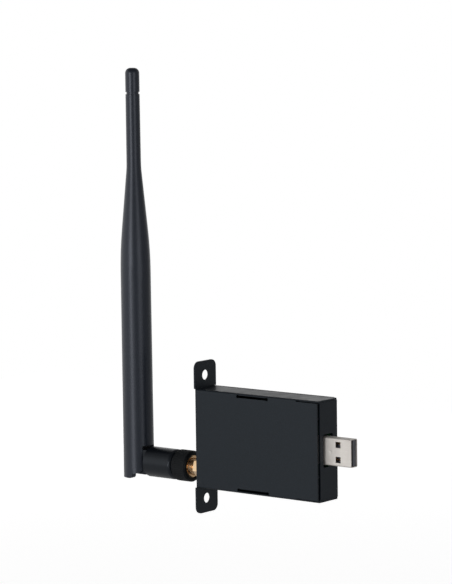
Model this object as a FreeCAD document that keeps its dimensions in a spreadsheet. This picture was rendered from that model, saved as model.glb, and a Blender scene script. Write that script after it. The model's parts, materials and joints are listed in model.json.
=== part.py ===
import FreeCAD, Part
import math
import os
import Sketcher

# USB wireless adapter in a folded steel case, with a jointed whip antenna on a bulkhead jack.
# Millimetres. X runs from the antenna end to the plug end, Y from front to back, Z up.
# The origin lies on the outer face of the ear plate, midway between the two ear holes.

Vector = FreeCAD.Vector
doc = FreeCAD.newDocument("usb_wifi_dongle")
sheet = doc.addObject("Spreadsheet::Sheet", "Sizes")
nodes = []


class Size:
    """A number together with the sheet formula that gives it."""

    def __init__(self, value, text):
        self.value = float(value)
        self.text = text

    def joined(self, sign, other, value):
        return Size(value, "(%s %s %s)" % (self.text, sign, other.text))

    def __add__(self, other):
        other = size_of(other)
        return self.joined("+", other, self.value + other.value)

    def __sub__(self, other):
        other = size_of(other)
        return self.joined("-", other, self.value - other.value)

    def __mul__(self, other):
        other = size_of(other)
        return self.joined("*", other, self.value * other.value)

    def __truediv__(self, other):
        other = size_of(other)
        return self.joined("/", other, self.value / other.value)

    def __radd__(self, other):
        return size_of(other) + self

    def __rsub__(self, other):
        return size_of(other) - self

    def __rmul__(self, other):
        return size_of(other) * self

    def __neg__(self):
        return Size(-self.value, "(0 - %s)" % self.text)


def size_of(item):
    return item if isinstance(item, Size) else Size(item, repr(float(item)))


def size(alias, value):
    """Writes a driving size, or a formula of earlier ones, as the sheet's next named cell."""
    size.row += 1
    cell = "B%d" % size.row
    item = size_of(value)
    formula = "=" + item.text.replace("Sizes.", "") if isinstance(value, Size) else str(value)
    sheet.set("A%d" % size.row, alias)
    sheet.set(cell, formula)
    sheet.setAlias(cell, alias)
    return Size(item.value, "Sizes." + alias)


size.row = 0

# Case
case_length = size("case_length", 67.2)
case_depth = size("case_depth", 14.5)
case_height = size("case_height", 43.5)
plate = size("plate_thick", 0.8)
bend_inside = size("bend_inside", 0.2)
seam = size("seam_gap", 0.1)
ear_reach = size("ear_reach", 11.8)
ear_round = size("ear_round", 3.0)
ear_hole_span = size("ear_hole_span", 54.5)
ear_hole = size("ear_hole_dia", 4.5)
ear_notch = size("ear_notch", 0.15)
left_setback = size("left_setback", 0.1)
right_setback = size("right_setback", 0.9)
tongue_inset = size("tongue_inset", 0.4)
fold_slot_start = size("fold_slot_start", 24.2)
fold_slot_length = size("fold_slot_length", 15.8)
fold_slot_width = size("fold_slot_width", 1.1)
fold_slot_bulb = size("fold_slot_bulb_dia", 1.5)
slit_length = size("slit_length", 11.5)
slit_width = size("slit_width", 0.6)
slit_drop = size("slit_drop", 0.4)
lip_width = size("lip_width", 5.3)
lip_margin = size("lip_margin", 5.0)
cover_screw_margin = size("cover_screw_margin", 10.0)
cover_screw_inset = size("cover_screw_inset", 3.4)

# Screws
screw_dia = size("screw_dia", 2.5)
screw_head_dia = size("screw_head_dia", 4.5)
screw_hole_play = size("screw_hole_play", 0.2)
thread_play = size("thread_play", 0.06)
cover_head = size("cover_head_thick", 0.9)
board_head = size("board_head_thick", 1.5)
card_screw_dia = size("card_screw_dia", 2.0)
card_head_dia = size("card_head_dia", 3.6)
card_head = size("card_head_thick", 0.9)
recess_width = size("recess_width", 0.55)

# Plug for the computer's socket
usb_width = size("usb_width", 12.0)
usb_height = size("usb_height", 4.5)
usb_reach = size("usb_reach", 13.6)
usb_length = size("usb_length", 18.8)
usb_wall = size("usb_wall", 0.3)
usb_round = size("usb_round", 0.6)
usb_window_length = size("usb_window_length", 2.6)
usb_window_width = size("usb_window_width", 2.6)
usb_window_back = size("usb_window_back", 6.8)
usb_window_span = size("usb_window_span", 6.4)
usb_dimple_back = size("usb_dimple_back", 10.7)
usb_dimple_depth = size("usb_dimple_depth", 0.15)
usb_dimple_ball = size("usb_dimple_ball_dia", 4.4)
usb_fit = size("usb_fit", 0.05)
tongue_thick = size("tongue_thick", 1.84)
tongue_short = size("tongue_short", 0.6)
tongue_length = size("tongue_length", 11.4)
contact_width = size("contact_width", 1.0)
contact_thick = size("contact_thick", 0.25)
contact_inner = size("contact_inner_pitch", 2.0)
contact_outer = size("contact_outer_pitch", 7.0)
contact_short = size("contact_short", 1.0)
contact_tail = size("contact_tail", 1.2)
outlet_margin = size("outlet_margin", 1.1)

# Boards
board_thick = size("board_thick", 1.6)
board_side_play = size("board_side_play", 1.1)
board_jack_gap = size("board_jack_gap", 2.2)
board_margin = size("board_margin", 0.7)
stud_dia = size("stud_dia", 5.0)
stud_left_inset = size("stud_left_inset", 4.0)
stud_right_inset = size("stud_right_inset", 7.5)
stud_ferrule_play = size("stud_ferrule_play", 1.0)
stud_lip_play = size("stud_lip_play", 0.65)
card_length = size("card_length", 26.8)
card_width = size("card_width", 30.0)
card_thick = size("card_thick", 1.0)
card_rise = size("card_rise", 2.3)
card_hole_inset = size("card_hole_inset", 3.0)
card_hole_span = size("card_hole_span", 24.2)
spacer_dia = size("spacer_dia", 4.0)
socket_length = size("socket_length", 8.0)
socket_height = size("socket_height", 4.0)
socket_grip = size("socket_grip", 2.6)
socket_cheek = size("socket_cheek", 0.8)
socket_fit = size("socket_fit", 0.05)
shield_inset = size("shield_inset", 8.0)
shield_length = size("shield_length", 14.5)
shield_width = size("shield_width", 22.0)
shield_height = size("shield_height", 1.8)
shield_wall = size("shield_wall", 0.2)
chip_width = size("chip_width", 9.0)
chip_thick = size("chip_thick", 0.9)
part_tail_gap = size("part_tail_gap", 0.6)
part_socket_gap = size("part_socket_gap", 1.1)
part_head_gap = size("part_head_gap", 0.75)
regulator_length = size("regulator_length", 6.5)
regulator_width = size("regulator_width", 3.5)
regulator_height = size("regulator_height", 1.6)
coil_width = size("coil_width", 5.0)
coil_height = size("coil_height", 2.4)
capacitor_length = size("capacitor_length", 3.5)
capacitor_width = size("capacitor_width", 2.8)
capacitor_height = size("capacitor_height", 1.9)
part_gap = size("part_gap", 0.5)

# Jack through the ear plate
jack_drop = size("jack_drop", 14.0)
thread_dia = size("thread_dia", 6.35)
jack_reach = size("jack_reach", 10.8)
jack_hole_play = size("jack_hole_play", 0.08)
jack_mouth_dia = size("jack_mouth_dia", 4.6)
jack_mouth_depth = size("jack_mouth_depth", 1.9)
jack_core_dia = size("jack_core_dia", 4.2)
jack_flange = size("jack_flange_thick", 2.0)
jack_flat = size("jack_flat_width", 8.0)
jack_chamfer = size("jack_chamfer", 0.3)
stem_dia = size("stem_dia", 2.6)
stem_length = size("stem_length", 3.2)
core_wall = size("core_wall", 1.0)
core_fillet = size("core_fillet", 0.2)
pin_room = size("centre_pin_room", 0.3)
crimp_gap = size("crimp_gap", 0.2)
coax_dia = size("coax_dia", 1.37)
close_fit = size("close_fit", 0.05)
contact_dia = size("centre_contact_dia", 1.27)
pin_dia = size("centre_pin_dia", 0.91)
pin_reach = size("centre_pin_reach", 2.3)
washer_thick = size("washer_thick", 0.5)
washer_dia = size("washer_dia", 9.6)
washer_play = size("washer_play", 0.2)
washer_notch = size("washer_notch_dia", 1.0)
nut_thick = size("nut_thick", 3.4)
nut_chamfer = size("nut_chamfer", 0.35)
ferrule_dia = size("ferrule_dia", 3.4)
ferrule_length = size("ferrule_length", 5.5)
mini_socket_dia = size("mini_socket_dia", 1.9)
mini_plug_dia = size("mini_plug_dia", 2.8)
mini_base = size("mini_base_width", 2.6)
mini_base_thick = size("mini_base_thick", 0.3)
mini_height = size("mini_height", 1.25)
mini_span = size("mini_span", 12.0)
mini_inset = size("mini_inset", 4.2)
mini_crimp_dia = size("mini_crimp_dia", 1.9)
mini_crimp_length = size("mini_crimp_length", 3.0)
mini_overlap = size("mini_overlap", 0.7)

# Antenna foot: coupling nut, connector body and knuckle
sleeve_gap = size("sleeve_gap", 6.45)
sleeve_length = size("sleeve_length", 8.25)
sleeve_dia = size("sleeve_dia", 13.8)
sleeve_chamfer = size("sleeve_chamfer", 0.8)
insert_dia = size("insert_dia", 10.2)
insert_recess = size("insert_recess", 0.3)
insert_wall = size("insert_wall", 1.6)
insert_back = size("insert_back", 0.45)
thread_fit = size("thread_fit", 0.05)
shank_dia = size("shank_dia", 5.0)
shank_length = size("shank_length", 11.1)
nose_dia = size("nose_dia", 4.54)
collar_dia = size("collar_dia", 6.6)
collar_thick = size("collar_thick", 1.0)
collar_inset = size("collar_inset", 2.2)
ring_thick = size("ring_thick", 0.4)
ring_dia = size("ring_dia", 6.2)
ring_groove = size("ring_groove", 0.3)
knuckle_gap = size("knuckle_gap", 0.15)
knuckle_dia = size("knuckle_dia", 13.45)
hinge_reach = size("hinge_reach", 38.3)
tenon_thick = size("tenon_thick", 7.8)
tenon_round = size("tenon_round", 5.45)
side_gap = size("side_gap", 0.1)
feed_dia = size("feed_dia", 1.8)
feed_room = size("feed_room", 0.2)
feed_play = size("feed_play", 0.1)

# Whip
whip_dia = size("whip_dia", 13.35)
foot_dia = size("foot_dia", 13.65)
whip_rise = size("whip_rise", 174.6)
fork_round = size("fork_round", 7.4)
fork_gap = size("fork_gap", 0.45)
heel_reach = size("heel_reach", 5.9)
heel_round = size("heel_round", 1.3)
heel_step = size("heel_step", 1.5)
slot_rise = size("slot_rise", 7.1)
pip_dia = size("pip_dia", 3.2)
pip_length = size("pip_length", 1.3)
taper_rise = size("taper_rise", 93.9)
taper_blend = size("taper_blend", 205.0)
neck_rise = size("neck_rise", 130.7)
neck_dia = size("neck_dia", 6.44)
neck_blend = size("neck_blend", 40.0)
tip_dia = size("tip_dia", 6.28)
tip_round = size("tip_round", 2.3)
tip_groove_drop = size("tip_groove_drop", 10.6)
tip_groove_width = size("tip_groove_width", 1.0)
tip_groove_depth = size("tip_groove_depth", 0.42)
hollow_rise = size("hollow_rise", 11.0)
hollow_dia = size("hollow_dia", 10.4)
hollow_taper_drop = size("hollow_taper_drop", 5.9)
neck_hollow_dia = size("neck_hollow_dia", 3.4)
tip_wall = size("tip_wall", 6.6)
tube_rise = size("tube_rise", 24.0)
tube_length = size("tube_length", 32.0)
tube_dia = size("tube_dia", 6.0)
tube_wall = size("tube_wall", 0.5)
wire_dia = size("wire_dia", 1.0)
wire_end_drop = size("wire_end_drop", 14.0)
coil_rise = size("coil_rise", 95.0)
coil_pitch = size("coil_pitch", 2.0)
coil_length = size("coil_length", 12.0)
coil_radius = size("coil_radius", 2.2)
arm_dia = size("coil_arm_dia", 1.3)
arm_past = size("coil_arm_past", 0.7)
spacer_length = size("spacer_length", 3.0)
tube_spacer_inset = size("tube_spacer_inset", 5.0)
wire_spacer_rise = size("wire_spacer_rise", 72.0)
neck_spacer_rise = size("neck_spacer_rise", 140.0)

# Planes that several pieces share
front = size("front_face", -case_depth / 2)
back = size("back_face", case_depth / 2)
front_in = size("front_inside", front + plate)
back_in = size("back_inside", back - plate)
top = size("top_face", case_height / 2)
top_in = size("top_inside", top - plate)
right_in = size("right_inside", case_length - plate)
cover_left = size("cover_left", plate + seam)
bend_outside = size("bend_outside", bend_inside + plate)
board_face = size("board_face", usb_height / 2)
board_back = size("board_back", board_face + board_thick)
board_left = size("board_left", plate + jack_flange + board_jack_gap)
board_right = size("board_right", right_in - board_margin)
board_top = size("board_top", top - cover_screw_inset - screw_dia / 2 - board_side_play)
stud_left = size("stud_left", board_left + stud_left_inset)
stud_right = size("stud_right", board_right - stud_right_inset)
stud_left_rise = size("stud_left_rise", jack_drop - (ferrule_dia + stud_dia) / 2 - stud_ferrule_play)
stud_right_rise = size("stud_right_rise", top_in - lip_width - stud_dia / 2 - stud_lip_play)
plug_tip = size("plug_tip", case_length + usb_reach)
plug_rear = size("plug_rear", plug_tip - usb_length)
part_row = size("part_row", plug_rear - contact_tail - part_tail_gap - regulator_length)
part_pitch = size("part_pitch", stud_right_rise - (screw_head_dia + coil_width) / 2 - part_head_gap)
socket_left = size("socket_left", part_row - part_socket_gap - socket_length)
card_back = size("card_back", board_face - card_rise)
card_face = size("card_face", card_back - card_thick)
card_right = size("card_right", socket_left + socket_grip)
card_left = size("card_left", card_right - card_length)
shield_left = size("shield_left", card_left + shield_inset)
jack_height = size("jack_height", -jack_drop)
jack_end = size("jack_end", -jack_reach)
mating_plane = size("mating_plane", jack_end + jack_mouth_depth)
sleeve_right = size("sleeve_right", -sleeve_gap)
sleeve_left = size("sleeve_left", sleeve_right - sleeve_length)
knuckle_right = size("knuckle_right", sleeve_left - knuckle_gap)
hinge_x = size("hinge_x", -hinge_reach)
feed_bore = size("feed_bore_radius", feed_dia / 2 + feed_play)
core_dia_clear = size("flange_bore_dia", thread_dia - core_fillet)
cover_screw_length = size("cover_screw_length", 3.6)
board_screw_length = size("board_screw_length", 3.5)
card_screw_length = size("card_screw_length", 2.8)
shank_left = size("shank_left", knuckle_right - shank_length / 2)
collar_right = size("collar_right", knuckle_right - collar_inset)


def bind(obj, name, item):
    """Ties one property of an object to a size."""
    item = size_of(item)
    obj.setExpression(name, item.text)


def place(obj, x, y, z, turn=None):
    """Puts an object at a bound position, with a fixed turn where one is given."""
    spot = [size_of(item) for item in (x, y, z)]
    obj.Placement = FreeCAD.Placement(Vector(*[item.value for item in spot]), turn or FreeCAD.Rotation())
    for axis, item in zip("xyz", spot):
        obj.setExpression("Placement.Base." + axis, item.text)
    return obj


TURNS = {
    "x": FreeCAD.Rotation(Vector(0, 1, 0), 90),
    "y": FreeCAD.Rotation(Vector(1, 0, 0), -90),
    "z": FreeCAD.Rotation(),
}


def block(name, x, y, z):
    """A rectangular block between pairs of low and high sides."""
    box = doc.addObject("Part::Box", name)
    for side, (low, high) in zip(("Length", "Width", "Height"), (x, y, z)):
        bind(box, side, high - low)
    return place(box, x[0], y[0], z[0])


def rod(name, axis, start, dia, length):
    """A round bar of a diameter, from its start point along one axis."""
    bar = doc.addObject("Part::Cylinder", name)
    bind(bar, "Radius", dia / 2)
    bind(bar, "Height", length)
    return place(bar, start[0], start[1], start[2], TURNS[axis])


def hexagon(name, start, flats, length):
    """A six-sided bar along X, with a flat on top."""
    bar = doc.addObject("Part::Prism", name)
    bar.Polygon = 6
    bind(bar, "Circumradius", flats / 2 / math.cos(math.pi / 6))
    bind(bar, "Height", length)
    return place(bar, start[0], start[1], start[2], TURNS["x"])


def fused(name, pieces):
    join = doc.addObject("Part::MultiFuse", name)
    join.Shapes = pieces
    return join


def cut(name, base, tools):
    """The base with every tool taken away."""
    tool = tools[0] if len(tools) == 1 else fused(name + "_tools", tools)
    left = doc.addObject("Part::Cut", name)
    left.Base = base
    left.Tool = tool
    return left


def common(name, base, tool):
    both = doc.addObject("Part::Common", name)
    both.Base = base
    both.Tool = tool
    return both


def group(name, pieces):
    """Separate like pieces kept in one node."""
    bundle = doc.addObject("Part::Compound", name)
    bundle.Links = pieces
    return bundle


def keep(obj, node):
    """Marks a finished sub-part and gives it its node name."""
    obj.Label = node
    nodes.append(obj)
    return obj


def new_body(name):
    return doc.addObject("PartDesign::Body", name)


def new_sketch(body, name, role, offset=None):
    """A sketch on one of the body's own origin planes, moved along its normal where an offset is given."""
    plane = [item for item in body.Origin.OriginFeatures if item.Role == role][0]
    sketch = body.newObject("Sketcher::SketchObject", name)
    sketch.AttachmentSupport = [(plane, "")]
    sketch.MapMode = "FlatFace"
    if offset is not None:
        sketch.AttachmentOffset = FreeCAD.Placement(Vector(0, 0, offset.value), FreeCAD.Rotation())
        sketch.setExpression("AttachmentOffset.Base.z", offset.text)
    return sketch


def hold(sketch, geometry, point, x, y):
    """Holds one point of a sketch at a bound place."""
    for kind, axis, item in (("DistanceX", -2, x), ("DistanceY", -1, y)):
        if abs(item.value) < 1e-9:
            sketch.addConstraint(Sketcher.Constraint("PointOnObject", geometry, point, axis))
            continue
        ends = (-1, 1, geometry, point) if item.value > 0 else (geometry, point, -1, 1)
        index = sketch.addConstraint(Sketcher.Constraint(kind, *ends, abs(item.value)))
        sketch.setExpression("Constraints[%d]" % index, item.text if item.value > 0 else (-item).text)


def outline(sketch, corners):
    """A closed run of lines through the corners; a corner with a third value is rounded by that radius."""
    spots = [tuple(size_of(item) for item in corner) for corner in corners]
    count = len(spots)
    flat = [Vector(spot[0].value, spot[1].value, 0) for spot in spots]
    entries = []
    exits = []
    for index, spot in enumerate(spots):
        before = (flat[index - 1] - flat[index]).normalize()
        after = (flat[(index + 1) % count] - flat[index]).normalize()
        reach = spot[2].value / math.tan(before.getAngle(after) / 2) if len(spot) == 3 else 0
        entries.append(flat[index] + before * reach)
        exits.append(flat[index] + after * reach)
    start = sketch.GeometryCount
    for index in range(count):
        line = Part.LineSegment(exits[index], entries[(index + 1) % count])
        sketch.addGeometry(line, False)
    for index, spot in enumerate(spots):
        arriving = start + (index - 1) % count
        leaving = start + index
        if len(spot) == 2:
            sketch.addConstraint(Sketcher.Constraint("Coincident", arriving, 2, leaving, 1))
            hold(sketch, leaving, 1, spot[0], spot[1])
            continue
        before = flat[index - 1] - flat[index]
        after = flat[(index + 1) % count] - flat[index]
        middle = (before.normalize() + after.normalize()).normalize()
        half = before.getAngle(after) / 2
        centre = flat[index] + middle * (spot[2].value / math.sin(half))
        left_turn = before.cross(after).z < 0
        first, last = (entries[index], exits[index]) if left_turn else (exits[index], entries[index])
        angles = [math.atan2(item.y - centre.y, item.x - centre.x) for item in (first, last)]
        rounding = Part.Circle(centre, Vector(0, 0, 1), spot[2].value)
        arc = sketch.addGeometry(Part.ArcOfCircle(rounding, angles[0], angles[1]), False)
        start_end, finish_end = (1, 2) if left_turn else (2, 1)
        sketch.addConstraint(Sketcher.Constraint("Tangent", arriving, 2, arc, start_end))
        sketch.addConstraint(Sketcher.Constraint("Tangent", arc, finish_end, leaving, 1))
        corner = sketch.addGeometry(Part.Point(flat[index]), True)
        hold(sketch, corner, 1, spot[0], spot[1])
        sketch.addConstraint(Sketcher.Constraint("PointOnObject", corner, 1, arriving))
        sketch.addConstraint(Sketcher.Constraint("PointOnObject", corner, 1, leaving))
        radius = sketch.addConstraint(Sketcher.Constraint("Radius", arc, spot[2].value))
        sketch.setExpression("Constraints[%d]" % radius, spot[2].text)


def circle(sketch, x, y, dia):
    """A bound circle in a sketch."""
    x, y, dia = size_of(x), size_of(y), size_of(dia)
    ring = sketch.addGeometry(Part.Circle(Vector(x.value, y.value, 0), Vector(0, 0, 1), dia.value / 2), False)
    hold(sketch, ring, 3, x, y)
    index = sketch.addConstraint(Sketcher.Constraint("Diameter", ring, dia.value))
    sketch.setExpression("Constraints[%d]" % index, dia.text)


def pad(body, name, sketch, length, side="One side", backwards=False):
    feature = body.newObject("PartDesign::Pad", name)
    feature.Profile = sketch
    feature.SideType = side
    feature.Reversed = backwards
    bind(feature, "Length", length)
    return feature


def pocket(body, name, sketch, length, side="One side", backwards=False):
    feature = body.newObject("PartDesign::Pocket", name)
    feature.Profile = sketch
    feature.SideType = side
    feature.Reversed = backwards
    bind(feature, "Length", length)
    return feature


def turned(name, axis, corners, angle=360):
    """A body turned about X or Z from its half section: (along X, radius) or (radius, along Z)."""
    body = new_body(name)
    sketch = new_sketch(body, name + "_section", "XZ_Plane")
    outline(sketch, corners)
    spin = body.newObject("PartDesign::Revolution", name + "_turn")
    spin.Profile = sketch
    spin.ReferenceAxis = (sketch, ["H_Axis" if axis == "x" else "V_Axis"])
    spin.Angle = angle
    return body


def on_jack_axis(body):
    return place(body, 0, 0, jack_height)


def on_hinge_axis(body):
    return place(body, hinge_x, 0, jack_height)


def corners_of(x_pair, z_pair):
    """Every pairing of two X places with two Z places."""
    return [(x, z) for x in x_pair for z in z_pair]


cover_screw_spots = corners_of(
    (cover_left + cover_screw_margin, case_length - cover_screw_margin),
    (top - cover_screw_inset, cover_screw_inset - top),
)
stud_spots = corners_of((stud_left,), (stud_left_rise, -stud_left_rise)) + corners_of(
    (stud_right,), (stud_right_rise, -stud_right_rise)
)
card_hole_x = size("card_hole_x", card_left + card_hole_inset)
card_hole_spots = corners_of((card_hole_x,), (card_hole_span / 2, -card_hole_span / 2))


def base_shell():
    """Back, both ends and the two ears, folded from one plate."""
    body = new_body("base_shell_body")
    left_edge = front_in + left_setback
    fold_joint = case_length - bend_outside - plate
    tall = new_sketch(body, "base_left_fold", "XY_Plane")
    outline(tall, [
        (0, left_edge),
        (plate, left_edge),
        (plate, back_in, bend_inside),
        (fold_joint, back_in),
        (fold_joint, back),
        (0, back, bend_outside),
    ])
    pad(body, "base_left_plate", tall, case_height, "Symmetric")
    nested = new_sketch(body, "base_right_fold", "XY_Plane")
    right_edge = front_in + right_setback
    outline(nested, [
        (fold_joint, back_in),
        (right_in, back_in, bend_inside),
        (right_in, right_edge),
        (case_length, right_edge),
        (case_length, back, bend_outside),
        (fold_joint, back),
    ])
    pad(body, "base_right_plate", nested, (top_in - seam) * 2, "Symmetric")
    ears = new_sketch(body, "base_ear_outline", "YZ_Plane")
    ear_top = top + ear_reach
    notch_top = top + ear_notch
    bend_line = back - bend_outside
    outline(ears, [
        (front, ear_top, ear_round),
        (front, top),
        (left_edge, top),
        (left_edge, -top),
        (front, -top),
        (front, -ear_top, ear_round),
        (back, -ear_top, ear_round),
        (back, -notch_top),
        (bend_line, -notch_top),
        (bend_line, notch_top),
        (back, notch_top),
        (back, ear_top, ear_round),
    ])
    pad(body, "base_ears", ears, plate)
    holes = new_sketch(body, "base_end_holes", "YZ_Plane")
    circle(holes, 0, ear_hole_span / 2, ear_hole)
    circle(holes, 0, -ear_hole_span / 2, ear_hole)
    circle(holes, 0, jack_height, thread_dia + jack_hole_play * 2)
    pocket(body, "base_end_cuts", holes, plate, backwards=True)
    outlet = new_sketch(body, "base_outlet", "YZ_Plane", right_in)
    half_high = usb_height / 2 + outlet_margin
    half_wide = usb_width / 2 + outlet_margin
    outline(outlet, [
        (-half_high, -half_wide, usb_round),
        (half_high, -half_wide, usb_round),
        (half_high, half_wide, usb_round),
        (-half_high, half_wide, usb_round),
    ])
    pocket(body, "base_outlet_cut", outlet, plate, backwards=True)
    screws = new_sketch(body, "base_screw_holes", "XZ_Plane", -back)
    for x, z in cover_screw_spots:
        circle(screws, x, z, screw_dia + screw_hole_play)
    pocket(body, "base_screw_cuts", screws, plate, backwards=True)
    keep(body, "base_shell")


def cover_section(body, name, start, length, lip):
    """Front, top and bottom of the cover over one stretch, with or without the inward lips."""
    sketch = new_sketch(body, name + "_section", "YZ_Plane", start)
    lip_end = top_in - lip_width
    lip_in = back_in - plate
    plain_end = back_in - bend_inside
    plain_rear = [(plain_end, -top), (plain_end, -top_in)]
    lipped_rear = [
        (back_in, -top, bend_outside),
        (back_in, -lip_end),
        (lip_in, -lip_end),
        (lip_in, -top_in, bend_inside),
    ]
    lower_rear = lipped_rear if lip else plain_rear
    upper_rear = [(corner[0], -corner[1]) + corner[2:] for corner in reversed(lower_rear)]
    front_outer = [(front, top, bend_outside), (front, -top, bend_outside)]
    front_inner = [(front_in, -top_in, bend_inside), (front_in, top_in, bend_inside)]
    outline(sketch, front_outer + lower_rear + front_inner + upper_rear)
    pad(body, name, sketch, length)


def cover_shell():
    """Front, top and bottom, folded from one plate, with lips that take the screws."""
    body = new_body("cover_shell_body")
    lip_start = cover_left + lip_margin
    lip_stop = case_length - lip_margin
    cover_section(body, "cover_left_end", cover_left, lip_start - cover_left, False)
    cover_section(body, "cover_middle", lip_start, lip_stop - lip_start, True)
    cover_section(body, "cover_right_end", lip_stop, case_length - lip_stop, False)
    slots = new_sketch(body, "cover_slots", "XZ_Plane", -front)
    slot_end = fold_slot_start + fold_slot_length
    slit_start = case_length - slit_length
    slit_top = top - slit_drop
    slit_low = slit_top - slit_width
    tongue_end = case_length - tongue_inset
    for side in (1, -1):
        outline(slots, [
            (fold_slot_start, side * top_in),
            (slot_end, side * top_in),
            (slot_end, side * (top_in - fold_slot_width)),
            (fold_slot_start, side * (top_in - fold_slot_width)),
        ])
    past_end = case_length + seam
    outline(slots, [
        (slit_start, slit_top),
        (past_end, slit_top),
        (past_end, -slit_top),
        (slit_start, -slit_top),
        (slit_start, -slit_low),
        (tongue_end, -slit_low),
        (tongue_end, slit_low),
        (slit_start, slit_low),
    ])
    pocket(body, "cover_slot_cuts", slots, bend_outside, backwards=False)
    bulbs = new_sketch(body, "cover_slot_bulbs", "XZ_Plane", -front)
    for x, z in corners_of((fold_slot_start, slot_end), (1, -1)):
        circle(bulbs, x, z * (top_in - fold_slot_width / 2), fold_slot_bulb)
    pocket(body, "cover_bulb_cuts", bulbs, bend_outside, backwards=False)
    threads = new_sketch(body, "cover_threads", "XZ_Plane", -back_in)
    for x, z in cover_screw_spots:
        circle(threads, x, z, screw_dia + thread_play)
    pocket(body, "cover_thread_cuts", threads, plate, backwards=True)
    keep(body, "cover_shell")


RECESS_SHARE = 0.6


def screw(name, seat, side, dia, length, head_dia, head_thick):
    """A screw along Y; side is 1 with its head behind the seat and -1 with its head in front of it."""
    x, y, z = seat
    head_low = y if side > 0 else y - head_thick
    shank_low = y - length if side > 0 else y
    head = rod(name + "_head", "y", (x, head_low, z), head_dia, head_thick)
    shank = rod(name + "_shank", "y", (x, shank_low, z), dia, length)
    solid = fused(name + "_blank", [head, shank])
    half = head_dia * RECESS_SHARE / 2
    thin = recess_width / 2
    depth = head_thick * RECESS_SHARE
    outer = y + side * head_thick
    deep = (outer - depth, outer) if side > 0 else (outer, outer + depth)
    cross = [
        block(name + "_cross_x", (x - half, x + half), deep, (z - thin, z + thin)),
        block(name + "_cross_z", (x - thin, x + thin), deep, (z - half, z + half)),
    ]
    return cut(name, solid, cross)


def screws():
    """Thin-headed cover screws behind, pan-headed board screws and small card screws inside."""
    cover = [
        screw("cover_screw_%d" % index, (x, back, z), 1, screw_dia, cover_screw_length,
              screw_head_dia, cover_head)
        for index, (x, z) in enumerate(cover_screw_spots)
    ]
    keep(group("cover_screws_group", cover), "cover_screws")
    board = [
        screw("board_screw_%d" % index, (x, board_face, z), -1, screw_dia, board_screw_length,
              screw_head_dia, board_head)
        for index, (x, z) in enumerate(stud_spots)
    ]
    keep(group("board_screws_group", board), "board_screws")
    card = [
        screw("card_screw_%d" % index, (x, card_face, z), -1, card_screw_dia, card_screw_length,
              card_head_dia, card_head)
        for index, (x, z) in enumerate(card_hole_spots)
    ]
    keep(group("card_screws_group", card), "card_screws")


def tubes(name, spots, low, high, outer, bore):
    """Short upright tubes along Y at several spots."""
    made = []
    for index, (x, z) in enumerate(spots):
        label = "%s_%d" % (name, index)
        wall = rod(label + "_wall", "y", (x, low, z), outer, high - low)
        hole = rod(label + "_hole", "y", (x, low, z), bore, high - low)
        made.append(cut(label, wall, [hole]))
    return group(name + "_group", made)


def boards():
    """Carrier board on its studs, and the radio card on its spacers and in its socket."""
    stud_bore = screw_dia + thread_play
    keep(tubes("studs", stud_spots, board_back, back_in, stud_dia, stud_bore), "board_standoffs")
    blank = block("carrier_blank", (board_left, board_right), (board_face, board_back),
                  (-board_top, board_top))
    holes = [
        rod("carrier_hole_%d" % index, "y", (x, board_face, z), screw_dia + screw_hole_play, board_thick)
        for index, (x, z) in enumerate(stud_spots)
    ]
    keep(cut("carrier_board_cut", blank, holes), "carrier_board")
    spacer_bore = card_screw_dia + thread_play
    spacers = tubes("card_spacer", card_hole_spots, card_back, board_face, spacer_dia, spacer_bore)
    keep(spacers, "card_spacers")
    card = block("card_blank", (card_left, card_right), (card_face, card_back),
                 (-card_width / 2, card_width / 2))
    card_holes = [
        rod("card_hole_%d" % index, "y", (x, card_face, z), card_screw_dia + screw_hole_play, card_thick)
        for index, (x, z) in enumerate(card_hole_spots)
    ]
    keep(cut("radio_card_cut", card, card_holes), "radio_card")
    half = card_width / 2 + socket_cheek
    socket = block("socket_blank", (socket_left, socket_left + socket_length),
                   (board_face - socket_height, board_face), (-half, half))
    mouth = block("socket_mouth", (socket_left, card_right + socket_fit),
                  (card_face - socket_fit, card_back + socket_fit),
                  (-card_width / 2 - socket_fit, card_width / 2 + socket_fit))
    keep(cut("card_socket_cut", socket, [mouth]), "card_socket")


def components():
    """Shield can and radio chip on the card, and the supply parts on the carrier board."""
    can_low = card_face - shield_height
    can = block("shield_blank", (shield_left, shield_left + shield_length), (can_low, card_face),
                (-shield_width / 2, shield_width / 2))
    room = block("shield_room",
                 (shield_left + shield_wall, shield_left + shield_length - shield_wall),
                 (can_low + shield_wall, card_face),
                 (shield_wall - shield_width / 2, shield_width / 2 - shield_wall))
    keep(cut("card_shield_cut", can, [room]), "card_shield")
    chip_x = shield_left + shield_length / 2
    chip = block("chip_block", (chip_x - chip_width / 2, chip_x + chip_width / 2),
                 (card_face - chip_thick, card_face), (-chip_width / 2, chip_width / 2))
    keep(chip, "radio_chip")
    regulator = block("regulator_block", (part_row, part_row + regulator_length),
                      (board_face - regulator_height, board_face),
                      (part_pitch - regulator_width / 2, part_pitch + regulator_width / 2))
    keep(regulator, "voltage_regulator")
    inductor = block("inductor_block", (part_row, part_row + coil_width),
                     (board_face - coil_height, board_face),
                     (-part_pitch - coil_width / 2, coil_width / 2 - part_pitch))
    keep(inductor, "power_inductor")
    capacitors = [
        block("capacitor_%d" % index, (x, x + capacitor_width),
              (board_face - capacitor_height, board_face), (-capacitor_length / 2, capacitor_length / 2))
        for index, x in enumerate((part_row, part_row + capacitor_width + part_gap))
    ]
    keep(group("capacitor_group", capacitors), "supply_capacitors")


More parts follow.
